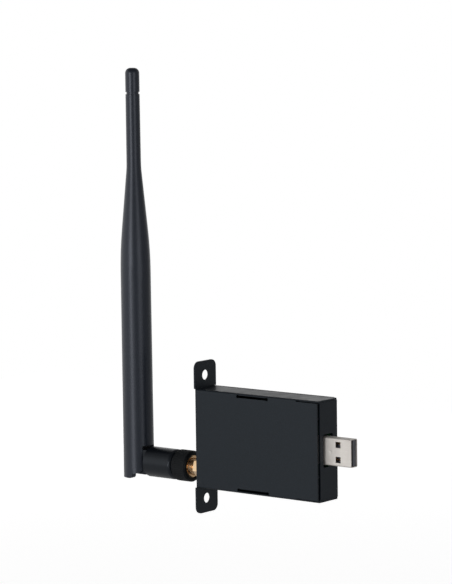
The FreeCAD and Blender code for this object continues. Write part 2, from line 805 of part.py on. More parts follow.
def usb_plug():
    """Steel plug shell with its windows, the moulded tongue and four contacts."""
    half_high = usb_height / 2
    half_wide = usb_width / 2
    body = new_body("usb_shell_body")
    rim = new_sketch(body, "usb_shell_rim", "YZ_Plane", plug_rear)
    for inset, rounding in ((0, usb_round), (usb_wall, usb_round - usb_wall)):
        high = half_high - inset
        wide = half_wide - inset
        outline(rim, [
            (-high, -wide, rounding),
            (high, -wide, rounding),
            (high, wide, rounding),
            (-high, wide, rounding),
        ])
    pad(body, "usb_shell_tube", rim, usb_length)
    windows = new_sketch(body, "usb_shell_windows", "XZ_Plane")
    window_x = plug_tip - usb_window_back
    for z in (usb_window_span / 2, -usb_window_span / 2):
        low_x = window_x - usb_window_length / 2
        high_x = window_x + usb_window_length / 2
        low_z = z - usb_window_width / 2
        high_z = z + usb_window_width / 2
        outline(windows, [(low_x, low_z), (high_x, low_z), (high_x, high_z), (low_x, high_z)])
    pocket(body, "usb_shell_window_cuts", windows, usb_height, "Symmetric")
    ball = doc.addObject("Part::Sphere", "usb_dimple")
    bind(ball, "Radius", usb_dimple_ball / 2)
    place(ball, plug_tip - usb_dimple_back, usb_dimple_depth - half_high - usb_dimple_ball / 2, 0)
    keep(cut("usb_plug_shell_cut", body, [ball]), "usb_plug_shell")
    inner_high = half_high - usb_wall - usb_fit
    inner_wide = half_wide - usb_wall - usb_fit
    tongue_face = inner_high - tongue_thick
    tongue_tip = plug_tip - tongue_short
    tongue_root = tongue_tip - tongue_length
    across = (-inner_wide, inner_wide)
    base = block("tongue_base", (plug_rear, tongue_root), (-inner_high, inner_high), across)
    tongue = block("tongue_blade", (tongue_root, tongue_tip), (tongue_face, inner_high), across)
    pitches = (contact_outer / 2, contact_inner / 2, -contact_inner / 2, -contact_outer / 2)
    ways = []
    strips = []
    for index, z in enumerate(pitches):
        side = contact_width / 2
        ways.append(block("contact_way_%d" % index, (plug_rear, tongue_root),
                          (tongue_face - contact_thick - usb_fit, tongue_face),
                          (z - side - usb_fit, z + side + usb_fit)))
        strip = block("contact_strip_%d" % index, (plug_rear - contact_tail, tongue_tip - contact_short),
                      (tongue_face - contact_thick, tongue_face), (z - side, z + side))
        tail = block("contact_tail_%d" % index,
                     (plug_rear - contact_tail, plug_rear - contact_tail + contact_thick),
                     (tongue_face - contact_thick, board_face), (z - side, z + side))
        strips.append(fused("contact_%d" % index, [strip, tail]))
    inside = new_body("tongue_inside_body")
    rim = new_sketch(inside, "tongue_inside_rim", "YZ_Plane", plug_rear)
    outline(rim, [
        (-inner_high, -inner_wide, usb_round - usb_wall),
        (inner_high, -inner_wide, usb_round - usb_wall),
        (inner_high, inner_wide, usb_round - usb_wall),
        (-inner_high, inner_wide, usb_round - usb_wall),
    ])
    pad(inside, "tongue_inside", rim, usb_length)
    tongue_form = common("tongue_rounded", fused("tongue_blank", [base, tongue]), inside)
    keep(cut("usb_plug_insulator_cut", tongue_form, ways), "usb_plug_insulator")
    keep(group("usb_contacts_group", strips), "usb_contacts")


def bulkhead():
    """Coaxial jack through the ear plate, with its insulator, contact, washer and nut."""
    core = jack_core_dia / 2
    mouth = jack_mouth_dia / 2
    thread = thread_dia / 2
    stem_bore = coax_dia / 2 + close_fit
    flange_back = plate + jack_flange
    core_back = flange_back - core_wall
    barrel = on_jack_axis(turned("jack_barrel", "x", [
        (jack_end, mouth),
        (jack_end, thread - jack_chamfer),
        (jack_end + jack_chamfer, thread),
        (flange_back, thread),
        (flange_back, stem_dia / 2),
        (flange_back + stem_length, stem_dia / 2),
        (flange_back + stem_length, stem_bore),
        (core_back, stem_bore),
        (core_back, core),
        (mating_plane, core),
        (mating_plane, mouth),
    ]))
    flange = hexagon("jack_hexagon", (plate, 0, jack_height), jack_flat, jack_flange)
    flange_bore = rod("jack_hexagon_bore", "x", (plate, 0, jack_height), core_dia_clear, jack_flange)
    keep(fused("bulkhead_jack_fuse", [barrel, cut("jack_flange", flange, [flange_bore])]), "bulkhead_jack")
    insulator_back = core_back - close_fit
    insulator = on_jack_axis(turned("jack_insulator_body", "x", [
        (mating_plane, contact_dia / 2 + close_fit),
        (mating_plane, core - close_fit),
        (insulator_back, core - close_fit),
        (insulator_back, contact_dia / 2 + close_fit),
    ]))
    keep(insulator, "jack_insulator")
    contact_bore = rod("jack_contact_bore", "x", (mating_plane, 0, jack_height), pin_dia + close_fit * 2,
                       pin_reach + pin_room)
    contact_bar = rod("jack_contact_bar", "x", (mating_plane, 0, jack_height), contact_dia,
                      insulator_back - mating_plane)
    keep(cut("jack_contact_cut", contact_bar, [contact_bore]), "jack_contact")
    ring = rod("washer_ring", "x", (-washer_thick, 0, jack_height), washer_dia, washer_thick)
    hole = rod("washer_hole", "x", (-washer_thick, 0, jack_height), thread_dia + washer_play, washer_thick)
    notches = []
    for index in range(WASHER_TEETH):
        angle = 2 * math.pi * index / WASHER_TEETH
        out = thread_dia / 2 + washer_notch / 4
        start = (-washer_thick, out * math.cos(angle), jack_height + out * math.sin(angle))
        notches.append(rod("washer_notch_%d" % index, "x", start, washer_notch, washer_thick))
    keep(cut("bulkhead_washer_cut", ring, [hole] + notches), "bulkhead_washer")
    nut_left = -washer_thick - nut_thick
    blank = hexagon("nut_hexagon", (nut_left, 0, jack_height), jack_flat, nut_thick)
    point = jack_flat / 2 / math.cos(math.pi / 6)
    cone = on_jack_axis(turned("nut_chamfers", "x", [
        (nut_left, 0),
        (nut_left, point - nut_chamfer),
        (nut_left + nut_chamfer / 2, point),
        (-washer_thick, point),
        (-washer_thick, 0),
    ]))
    bore = rod("nut_bore", "x", (nut_left, 0, jack_height), thread_dia + thread_fit * 2, nut_thick)
    keep(cut("bulkhead_nut_cut", common("nut_blank", blank, cone), [bore]), "bulkhead_nut")


WASHER_TEETH = 12


def pigtail():
    """Thin cable from the jack to the card, with its ferrule, mini plug and the card's two mini sockets."""
    flange_back = plate + jack_flange
    bore = coax_dia / 2 + close_fit
    stem_end = flange_back + stem_length
    sleeve_start = flange_back + crimp_gap
    ferrule = on_jack_axis(turned("ferrule_body", "x", [
        (sleeve_start, stem_dia / 2 + close_fit),
        (sleeve_start, ferrule_dia / 2),
        (sleeve_start + ferrule_length, ferrule_dia / 2),
        (sleeve_start + ferrule_length, bore),
        (stem_end + close_fit, bore),
        (stem_end + close_fit, stem_dia / 2 + close_fit),
    ]))
    keep(ferrule, "crimp_ferrule")
    socket_x = card_left + mini_inset
    sockets = []
    for index, z in enumerate((-mini_span / 2, mini_span / 2)):
        half = mini_base / 2
        foot = block("mini_foot_%d" % index, (socket_x - half, socket_x + half),
                     (card_face - mini_base_thick, card_face), (z - half, z + half))
        post_start = (socket_x, card_face - mini_height, z)
        post = rod("mini_post_%d" % index, "y", post_start, mini_socket_dia, mini_height)
        sockets.append(fused("mini_socket_%d" % index, [foot, post]))
    keep(group("mini_sockets_group", sockets), "card_coax_sockets")
    plug_z = -mini_span / 2
    cap_inside = card_face - mini_height - close_fit
    cap_top = cap_inside - mini_base_thick
    skirt_end = card_face - mini_base_thick - close_fit
    cap = rod("mini_cap", "y", (socket_x, cap_top, plug_z), mini_plug_dia, skirt_end - cap_top)
    crimp_y = card_face - mini_base_thick - mini_crimp_dia / 2 - close_fit
    crimp_start = socket_x - mini_plug_dia / 2 - mini_crimp_length
    crimp = rod("mini_crimp", "x", (crimp_start, crimp_y, plug_z), mini_crimp_dia,
                mini_crimp_length + mini_overlap)
    cavity = rod("mini_cavity", "y", (socket_x, cap_inside, plug_z), mini_socket_dia + close_fit * 2,
                 skirt_end - cap_inside)
    way = rod("mini_crimp_bore", "x", (crimp_start, crimp_y, plug_z), bore * 2, mini_crimp_length)
    keep(cut("mini_plug_cut", fused("mini_plug_blank", [cap, crimp]), [cavity, way]), "mini_coax_plug")
    ferrule_end = sleeve_start + ferrule_length
    turns = [(ferrule_end + (crimp_start - ferrule_end) * share).value for share in PIGTAIL_SHARES]
    route = [
        (sleeve_start.value, 0.0, jack_height.value),
        (turns[0], 0.0, jack_height.value),
        (turns[1], crimp_y.value, plug_z.value),
        ((crimp_start + mini_crimp_length - close_fit).value, crimp_y.value, plug_z.value),
    ]
    keep(cable("pigtail_route", [Vector(*point) for point in route], coax_dia.value), "pigtail_cable")


PIGTAIL_SHARES = (0.34, 0.64)
ARC_SHARE = 0.45


def cable(name, points, dia):
    """A round cable along straight runs joined by tangent arcs."""
    edges = []
    last = points[0]
    for index in range(1, len(points) - 1):
        before = points[index - 1] - points[index]
        after = points[index + 1] - points[index]
        half_turn = (math.pi - before.getAngle(after)) / 2
        reach = ARC_SHARE * min(before.Length, after.Length)
        radius = reach / math.tan(half_turn)
        before.normalize()
        after.normalize()
        entry = points[index] + before * reach
        leave = points[index] + after * reach
        middle = (before + after).normalize()
        mid = points[index] + middle * (radius / math.cos(half_turn) - radius)
        edges.append(Part.LineSegment(last, entry).toShape())
        edges.append(Part.Arc(entry, mid, leave).toShape())
        last = leave
        print("pigtail bend radius", round(radius, 2))
    edges.append(Part.LineSegment(last, points[-1]).toShape())
    path = Part.Wire(edges)
    ring = Part.Wire([Part.makeCircle(dia / 2, points[0], points[1] - points[0])])
    solid = path.makePipeShell([ring], True, True)
    expected = math.pi * dia * dia / 4 * path.Length
    print("pigtail length", round(path.Length, 2), "volume share", round(solid.Volume / expected, 4))
    feature = doc.addObject("Part::Feature", name)
    feature.Shape = solid
    return feature


def coupling():
    """Sleeve and brass insert that turn on the connector body, and the ring that holds them on."""
    outer = sleeve_dia / 2
    insert_outer = insert_dia / 2
    insert_left = sleeve_left + insert_back
    back_bore = shank_dia / 2 + feed_room / 2
    sleeve = on_jack_axis(turned("sleeve_body", "x", [
        (sleeve_right, insert_outer),
        (sleeve_right, outer - sleeve_chamfer),
        (sleeve_right - sleeve_chamfer, outer),
        (sleeve_left + sleeve_chamfer, outer),
        (sleeve_left, outer - sleeve_chamfer),
        (sleeve_left, shank_dia / 2 + feed_room),
        (insert_left, shank_dia / 2 + feed_room),
        (insert_left, insert_outer),
    ]))
    keep(sleeve, "coupling_sleeve")
    thread = thread_dia / 2 + thread_fit
    insert = on_jack_axis(turned("insert_body", "x", [
        (sleeve_right - insert_recess, thread),
        (sleeve_right - insert_recess, insert_outer - close_fit),
        (insert_left, insert_outer - close_fit),
        (insert_left, back_bore),
        (insert_left + insert_wall, back_bore),
        (insert_left + insert_wall, thread),
    ]))
    keep(insert, "coupling_insert")
    ring_left = insert_left + insert_wall + knuckle_gap
    ring = on_jack_axis(turned("ring_body", "x", [
        (ring_left, shank_dia / 2 - ring_groove + close_fit),
        (ring_left, ring_dia / 2),
        (ring_left + ring_thick, ring_dia / 2),
        (ring_left + ring_thick, shank_dia / 2 - ring_groove + close_fit),
    ], RING_SWEEP))
    keep(ring, "retaining_ring")
    nose_root = jack_end - knuckle_gap
    groove = (ring_left - close_fit, ring_left + ring_thick + close_fit)
    core = jack_core_dia / 2
    core_back = mating_plane - shank_length / 2
    connector_bore = feed_dia / 2 + close_fit
    connector = on_jack_axis(turned("connector_body", "x", [
        (mating_plane, core),
        (mating_plane, nose_dia / 2),
        (nose_root, nose_dia / 2),
        (nose_root, shank_dia / 2),
        (groove[1], shank_dia / 2),
        (groove[1], shank_dia / 2 - ring_groove),
        (groove[0], shank_dia / 2 - ring_groove),
        (groove[0], shank_dia / 2),
        (collar_right, shank_dia / 2),
        (collar_right, collar_dia / 2),
        (collar_right - collar_thick, collar_dia / 2),
        (collar_right - collar_thick, shank_dia / 2),
        (shank_left, shank_dia / 2),
        (shank_left, connector_bore),
        (core_back, connector_bore),
        (core_back, core),
    ]))
    keep(connector, "antenna_connector")
    insulator = on_jack_axis(turned("connector_insulator_body", "x", [
        (mating_plane, contact_dia / 2 + close_fit),
        (mating_plane, core - close_fit),
        (core_back + close_fit, core - close_fit),
        (core_back + close_fit, contact_dia / 2 + close_fit),
    ]))
    keep(insulator, "connector_insulator")
    pin_back = core_back + close_fit
    tip = rod("pin_tip", "x", (mating_plane - close_fit, 0, jack_height), pin_dia, pin_reach + close_fit)
    stem = rod("pin_stem", "x", (pin_back, 0, jack_height), contact_dia, mating_plane - close_fit - pin_back)
    keep(fused("centre_pin_fuse", [tip, stem]), "centre_pin")


RING_SWEEP = 325


def knuckle():
    """Moulded elbow: socket for the connector at one end, tenon of the hinge at the other."""
    running = close_fit
    shank_bore = shank_dia / 2 + running
    collar_bore = collar_dia / 2 + running
    root = hinge_x + fork_round + fork_gap
    barrel = on_jack_axis(turned("knuckle_barrel", "x", [
        (root, feed_bore),
        (root, knuckle_dia / 2),
        (knuckle_right, knuckle_dia / 2),
        (knuckle_right, shank_bore),
        (collar_right + running, shank_bore),
        (collar_right + running, collar_bore),
        (collar_right - collar_thick - running, collar_bore),
        (collar_right - collar_thick - running, shank_bore),
        (shank_left - running, shank_bore),
        (shank_left - running, feed_bore),
    ]))
    half = tenon_thick / 2
    disc = rod("tenon_disc", "y", (hinge_x, -half, jack_height), tenon_round * 2, tenon_thick)
    neck = block("tenon_neck", (hinge_x, root + running), (-half, half),
                 (jack_height - tenon_round, jack_height + tenon_round))
    hull = rod("tenon_hull", "x", (hinge_x - tenon_round, 0, jack_height), knuckle_dia,
               tenon_round + root - hinge_x + running)
    tenon = common("tenon_blank", fused("tenon_full", [disc, neck]), hull)
    room = feed_dia / 2 + feed_room
    pip_bore = pip_dia + close_fit * 2
    pip_deep = pip_length - side_gap + close_fit
    hollows = [
        rod("tenon_feed", "x", (hinge_x - room, 0, jack_height), feed_bore * 2, root - hinge_x + room * 2),
        block("tenon_groove", (hinge_x - tenon_round, hinge_x + room), (-room, room),
              (jack_height - room, jack_height + tenon_round)),
        rod("tenon_dent_front", "y", (hinge_x, -half, jack_height), pip_bore, pip_deep),
        rod("tenon_dent_back", "y", (hinge_x, half - pip_deep, jack_height), pip_bore, pip_deep),
    ]
    keep(cut("knuckle_cut", fused("knuckle_blank", [barrel, tenon]), hollows), "knuckle")
    feed_start = hinge_x + feed_room + feed_dia / 2
    feed_end = mating_plane - shank_length / 2 - close_fit
    feed = rod("lower_feed_rod", "x", (feed_start, 0, jack_height), feed_dia, feed_end - feed_start)
    keep(feed, "lower_feed_cable")


def whip():
    """Hollow moulded whip with its fork, and the radiating parts inside."""
    foot = foot_dia / 2
    groove_top = whip_rise - tip_groove_drop
    groove_low = groove_top - tip_groove_width
    hollow_taper = taper_rise - hollow_taper_drop
    body = turned("whip_shape", "z", [
        (feed_bore, -fork_round),
        (foot, -fork_round),
        (whip_dia / 2, taper_rise, taper_blend),
        (neck_dia / 2, neck_rise, neck_blend),
        (tip_dia / 2, groove_low),
        (tip_dia / 2 - tip_groove_depth, groove_low),
        (tip_dia / 2 - tip_groove_depth, groove_top),
        (tip_dia / 2, groove_top),
        (tip_dia / 2, whip_rise, tip_round),
        (0, whip_rise),
        (0, whip_rise - tip_wall),
        (neck_hollow_dia / 2, whip_rise - tip_wall),
        (neck_hollow_dia / 2, neck_rise),
        (hollow_dia / 2, hollow_taper),
        (hollow_dia / 2, hollow_rise),
        (feed_bore, hollow_rise),
    ])
    half = tenon_thick / 2 + side_gap
    slot = new_sketch(body, "whip_slot", "YZ_Plane")
    slot_low = -fork_round - side_gap
    outline(slot, [(-half, slot_low), (half, slot_low), (half, slot_rise), (-half, slot_rise)])
    pocket(body, "whip_slot_cut", slot, foot_dia + side_gap, "Symmetric")
    past = fork_round + side_gap
    on_hinge_axis(body)
    low = block("fork_low", (hinge_x - past, hinge_x + past), (-foot, foot),
                (jack_height - past, jack_height))
    step = hinge_x + heel_step
    cheek = foot + side_gap - heel_step
    wheel = rod("fork_wheel", "y", (step, -foot, jack_height), cheek * 2, foot_dia)
    fork_end = jack_height - fork_round
    heel_left = hinge_x - heel_reach
    heel = [
        block("heel_side", (hinge_x - past, step), (-foot, foot), (fork_end + heel_round, jack_height)),
        block("heel_base", (heel_left + heel_round, step - heel_round), (-foot, foot), (fork_end, jack_height)),
        rod("heel_corner", "y", (heel_left + heel_round, -foot, fork_end + heel_round), heel_round * 2,
            foot_dia),
        rod("heel_toe", "y", (step - heel_round, -foot, fork_end + heel_round), heel_round * 2, foot_dia),
    ]
    trimming = cut("fork_trimming", low, [wheel] + heel)
    inner = half - pip_length
    pips = [
        rod("fork_pip_front", "y", (hinge_x, -half, jack_height), pip_dia, pip_length),
        rod("fork_pip_back", "y", (hinge_x, inner, jack_height), pip_dia, pip_length),
    ]
    keep(fused("whip_sleeve_fuse", [cut("whip_trimmed", body, [trimming])] + pips), "whip_sleeve")
    tube_top = tube_rise + tube_length
    feed_low = feed_dia / 2 + feed_room
    feed_top = tube_top - close_fit
    keep(rod("upper_feed_rod", "z", (hinge_x, 0, jack_height + feed_low), feed_dia, feed_top - feed_low),
         "upper_feed_cable")
    tube = on_hinge_axis(turned("tube_body", "z", [
        (tube_dia / 2 - tube_wall, tube_rise),
        (tube_dia / 2, tube_rise),
        (tube_dia / 2, tube_top),
        (feed_dia / 2 + close_fit, tube_top),
        (feed_dia / 2 + close_fit, tube_top - tube_wall),
        (tube_dia / 2 - tube_wall, tube_top - tube_wall),
    ]))
    keep(tube, "radiator_tube")
    keep(radiator_wire(tube_top + close_fit), "radiator_wire")
    spacers = []
    for index, (rise, wall_dia, bore) in enumerate((
        (tube_rise + tube_spacer_inset, hollow_dia, tube_dia),
        (wire_spacer_rise, hollow_dia, wire_dia),
        (neck_spacer_rise, neck_hollow_dia, wire_dia),
    )):
        label = "whip_spacer_%d" % index
        start = (hinge_x, 0, jack_height + rise)
        disc = rod(label + "_disc", "z", start, wall_dia - close_fit * 2, spacer_length)
        hole = rod(label + "_hole", "z", start, bore + close_fit * 2, spacer_length)
        spacers.append(cut(label, disc, [hole]))
    keep(group("whip_spacers_group", spacers), "whip_spacers")


def radiator_wire(start):
    """Straight wire on the whip's axis with a loading coil part-way up."""
    lower = rod("wire_lower", "z", (hinge_x, 0, jack_height + start), wire_dia,
                coil_rise - start + wire_dia / 2)
    upper_start = coil_rise + coil_length - wire_dia / 2
    upper = rod("wire_upper", "z", (hinge_x, 0, jack_height + upper_start), wire_dia,
                whip_rise - wire_end_drop - upper_start)
    arm_start = hinge_x - arm_past
    arms = [
        rod("wire_arm_%d" % index, "x", (arm_start, 0, jack_height + rise), arm_dia,
            coil_radius + arm_past * 2)
        for index, rise in enumerate((coil_rise, coil_rise + coil_length))
    ]
    spring = doc.addObject("Part::Helix", "coil_path")
    bind(spring, "Pitch", coil_pitch)
    bind(spring, "Height", coil_length)
    bind(spring, "Radius", coil_radius)
    place(spring, hinge_x, 0, jack_height + coil_rise)
    ring = doc.addObject("Part::Circle", "coil_ring")
    bind(ring, "Radius", wire_dia / 2)
    place(ring, hinge_x + coil_radius, 0, jack_height + coil_rise, FreeCAD.Rotation(Vector(1, 0, 0), 90))
    turns = doc.addObject("Part::Sweep", "coil_turns")
    turns.Sections = [ring]
    turns.Spine = (spring, ["Edge1"])
    turns.Solid = True
    turns.Frenet = True
    return fused("radiator_wire_fuse", [lower, upper, turns] + arms)


base_shell()
cover_shell()
screws()
boards()
components()
usb_plug()
bulkhead()
pigtail()
coupling()
knuckle()
whip()
doc.recompute()

faults = []
for obj in doc.Objects:
    if "Invalid" in obj.State or "Error" in obj.State:
        faults.append("%s: %s" % (obj.Name, obj.State))
for obj in nodes:
    if obj.Shape.isNull() or not obj.Shape.isValid() or obj.Shape.Volume <= 0:
        faults.append("%s has no sound shape" % obj.Label)
if faults:
    raise RuntimeError("; ".join(faults))

os.makedirs("parts", exist_ok=True)
for obj in nodes:
    obj.Shape.exportStep("parts/%s.step" % obj.Label)
    print("%-22s solids %2d volume %9.2f" % (obj.Label, len(obj.Shape.Solids), obj.Shape.Volume))
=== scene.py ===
import json
import math

import bmesh
import bpy
from mathutils import Matrix, Vector


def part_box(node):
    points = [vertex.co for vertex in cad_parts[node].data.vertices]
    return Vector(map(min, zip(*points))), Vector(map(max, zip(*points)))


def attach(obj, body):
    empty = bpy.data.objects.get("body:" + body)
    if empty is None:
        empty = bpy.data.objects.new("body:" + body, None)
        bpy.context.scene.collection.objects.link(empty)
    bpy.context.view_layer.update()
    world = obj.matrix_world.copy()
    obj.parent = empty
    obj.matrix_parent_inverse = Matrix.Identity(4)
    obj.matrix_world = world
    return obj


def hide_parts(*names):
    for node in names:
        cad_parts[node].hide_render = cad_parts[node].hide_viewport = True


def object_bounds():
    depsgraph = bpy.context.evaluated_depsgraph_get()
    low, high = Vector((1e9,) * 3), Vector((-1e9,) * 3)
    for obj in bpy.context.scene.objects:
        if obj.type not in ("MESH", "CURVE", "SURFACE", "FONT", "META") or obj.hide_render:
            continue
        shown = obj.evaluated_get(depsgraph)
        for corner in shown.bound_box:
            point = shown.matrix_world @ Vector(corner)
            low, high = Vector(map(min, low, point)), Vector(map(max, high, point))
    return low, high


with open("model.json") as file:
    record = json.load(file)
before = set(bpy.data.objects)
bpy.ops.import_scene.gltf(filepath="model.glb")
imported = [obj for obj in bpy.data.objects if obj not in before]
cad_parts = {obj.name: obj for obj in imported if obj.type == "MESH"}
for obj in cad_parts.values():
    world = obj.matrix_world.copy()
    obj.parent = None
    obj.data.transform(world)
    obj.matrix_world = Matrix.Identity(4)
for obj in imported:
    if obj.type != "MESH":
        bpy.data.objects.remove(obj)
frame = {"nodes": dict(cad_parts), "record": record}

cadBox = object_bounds()
mm = 0.001
nodes = frame["nodes"]
print("frame loaded:", len(nodes), "nodes")


# Camera, matched to the photograph

cameraSet = {
    "azimuth": 38.8094,  # degrees round from the front of the case
    "elevation": 6.2942,
    "roll": 0.8166,
    "distance": 1.248452,  # metres from the frame's origin, along the view
    "across": 0.0091761,
    "up": 0.0631400,
    "lens": 175.76,
    "sensor": 36,
    "clip": (0.05, 50),
}


def outward(azimuth, elevation=0):
    # the way from the object to that side, 0 being the front of the case
    a, e = math.radians(azimuth), math.radians(elevation)
    return Vector((math.sin(a) * math.cos(e), -math.cos(a) * math.cos(e), math.sin(e)))


def makeCamera(values):
    back = outward(values["azimuth"], values["elevation"])
    right = outward(values["azimuth"] + 90)
    up = back.cross(right)
    r = math.radians(values["roll"])
    rolledRight = right * math.cos(r) - up * math.sin(r)
    rolledUp = right * math.sin(r) + up * math.cos(r)
    place = rolledRight * values["across"] + rolledUp * values["up"] + back * values["distance"]
    data = bpy.data.cameras.new("camera")
    data.lens = values["lens"]
    data.sensor_width = values["sensor"]
    data.clip_start, data.clip_end = values["clip"]
    camera = bpy.data.objects.new("camera", data)
    camera.matrix_world = Matrix((rolledRight, rolledUp, back)).transposed().to_4x4()
    camera.location = place
    bpy.context.scene.collection.objects.link(camera)
    bpy.context.scene.camera = camera


makeCamera(cameraSet)
print("camera placed")


# Node helpers

def toLinear(hexText):
    channels = [int(hexText[i:i + 2], 16) / 255 for i in (1, 3, 5)]
    return tuple(c / 12.92 if c <= 0.04045 else ((c + 0.055) / 1.055) ** 2.4 for c in channels) + (1,)


def addNode(tree, kind, inputs=(), **settings):
    node = tree.nodes.new(kind)
    for key, value in settings.items():
        setattr(node, key, value)
    for socket, value in dict(inputs).items():
        if isinstance(value, bpy.types.NodeSocket):
            tree.links.new(value, node.inputs[socket])
        else:
            node.inputs[socket].default_value = value
    return node


def startMaterial(name, values):
    material = bpy.data.materials.new(name)
    material.use_nodes = True
    tree = material.node_tree
    shader = tree.nodes["Principled BSDF"]
    for socket, value in values.items():
        shader.inputs[socket].default_value = value
    where = addNode(tree, "ShaderNodeTexCoord").outputs["Object"]
    return material, tree, shader, where


def varied(tree, where, scale, low=0.0, high=1.0, detail=3.0, stretch=(1, 1, 1)):
    # a noise, stretched along an axis where asked, and the same noise spread from low to high
    placed = addNode(tree, "ShaderNodeMapping", {"Vector": where, "Scale": stretch}).outputs["Vector"]
    noise = addNode(tree, "ShaderNodeTexNoise", {"Vector": placed, "Scale": scale, "Detail": detail})
    spread = addNode(tree, "ShaderNodeMapRange", {
        "Value": noise.outputs["Fac"], "From Min": 0.3, "From Max": 0.7, "To Min": low, "To Max": high})
    return noise.outputs["Fac"], spread.outputs["Result"]


def twoTone(tree, share, first, second):
    # a Mix node of colours has its factor at 0, the colours at 6 and 7, and its result at 2
    mix = addNode(tree, "ShaderNodeMix", data_type="RGBA")
    tree.links.new(share, mix.inputs[0])
    mix.inputs[6].default_value = toLinear(first)
    mix.inputs[7].default_value = toLinear(second)
    return mix.outputs[2]


def coat(tree, shader, colour, gloss, height, depth, share=0.5):
    # the colour, the roughness and a bump of that depth in mm, onto the shader
    bump = addNode(tree, "ShaderNodeBump", {"Height": height, "Distance": depth * mm, "Strength": share})
    tree.links.new(colour, shader.inputs["Base Color"])
    tree.links.new(gloss, shader.inputs["Roughness"])
    tree.links.new(bump.outputs["Normal"], shader.inputs["Normal"])


# Finishes

def powderCoatedSteel():
    # baked polyester powder on steel sheet: dull satin black, slightly blue, with a faint orange peel
    material, tree, shader, where = startMaterial("powderCoatedSteel", {
        "IOR": 1.5, "Specular IOR Level": 0.33, "Specular Tint": (0.86, 0.94, 1, 1)})
    peel, tone = varied(tree, where, scale=1400, detail=2)  # cells of 0.7 mm, real ones are half that
    gloss = varied(tree, where, scale=160, low=0.37, high=0.47)[1]
    coat(tree, shader, twoTone(tree, tone, "#12181f", "#171e26"), gloss, peel, depth=0.02, share=0.6)
    return material


def mouldedElastomer():
    # thermoplastic elastomer moulded over the whip: soft satin black, its grain drawn coarser to show
    material, tree, shader, where = startMaterial("mouldedElastomer", {
        "IOR": 1.55, "Specular IOR Level": 0.48, "Specular Tint": (0.85, 0.89, 1, 1)})
    grain, tone = varied(tree, where, scale=1600, detail=2)
    alongWhip = (1, 1, 0.15)  # flow lines run up the whip
    gloss = varied(tree, where, scale=60, low=0.3, high=0.38, detail=2, stretch=alongWhip)[1]
    coat(tree, shader, twoTone(tree, tone, "#161b24", "#1c222c"), gloss, grain, depth=0.01)
    return material


def mouldedNylon():
    # glass-filled nylon of the elbow: smoother than the whip, satin black, its grain drawn coarser to show
    material, tree, shader, where = startMaterial("mouldedNylon", {
        "IOR": 1.53, "Specular IOR Level": 0.34, "Specular Tint": (0.82, 0.9, 1, 1)})
    grain, tone = varied(tree, where, scale=1800, detail=2)
    gloss = varied(tree, where, scale=90, low=0.26, high=0.34)[1]
    coat(tree, shader, twoTone(tree, tone, "#0d1015", "#11141a"), gloss, grain, depth=0.008)
    return material


def sleeveAbs():
    # moulded ABS grip of the coupling nut: black, dulled by handling, its grain drawn coarser to show
    material, tree, shader, where = startMaterial("sleeveAbs", {"IOR": 1.52, "Specular IOR Level": 0.15})
    grain, tone = varied(tree, where, scale=2000, detail=2)
    gloss = varied(tree, where, scale=300, low=0.42, high=0.55)[1]
    coat(tree, shader, twoTone(tree, tone, "#0d1013", "#131619"), gloss, grain, depth=0.008)
    return material


def metalFinish(name, light, dark, low, high, stretch=(1, 1, 1), scale=900, depth=0.004):
    # a bare metal, its roughness from low to high along the lay that its tool left
    material, tree, shader, where = startMaterial(name, {"Metallic": 1.0})
    lay, gloss = varied(tree, where, scale, low, high, stretch=stretch)
    tone = varied(tree, where, scale / 6)[1]
    coat(tree, shader, twoTone(tree, tone, light, dark), gloss, lay, depth)
    return material


def plainFinish(name, light, dark, rough, scale=1200, depth=0.006, spread=0.04, **extra):
    # a moulded, turned or painted surface with a fine grain
    material, tree, shader, where = startMaterial(name, extra)
    grain, tone = varied(tree, where, scale)
    gloss = varied(tree, where, scale / 8, rough - spread, rough + spread)[1]
    coat(tree, shader, twoTone(tree, tone, light, dark), gloss, grain, depth)
    return material


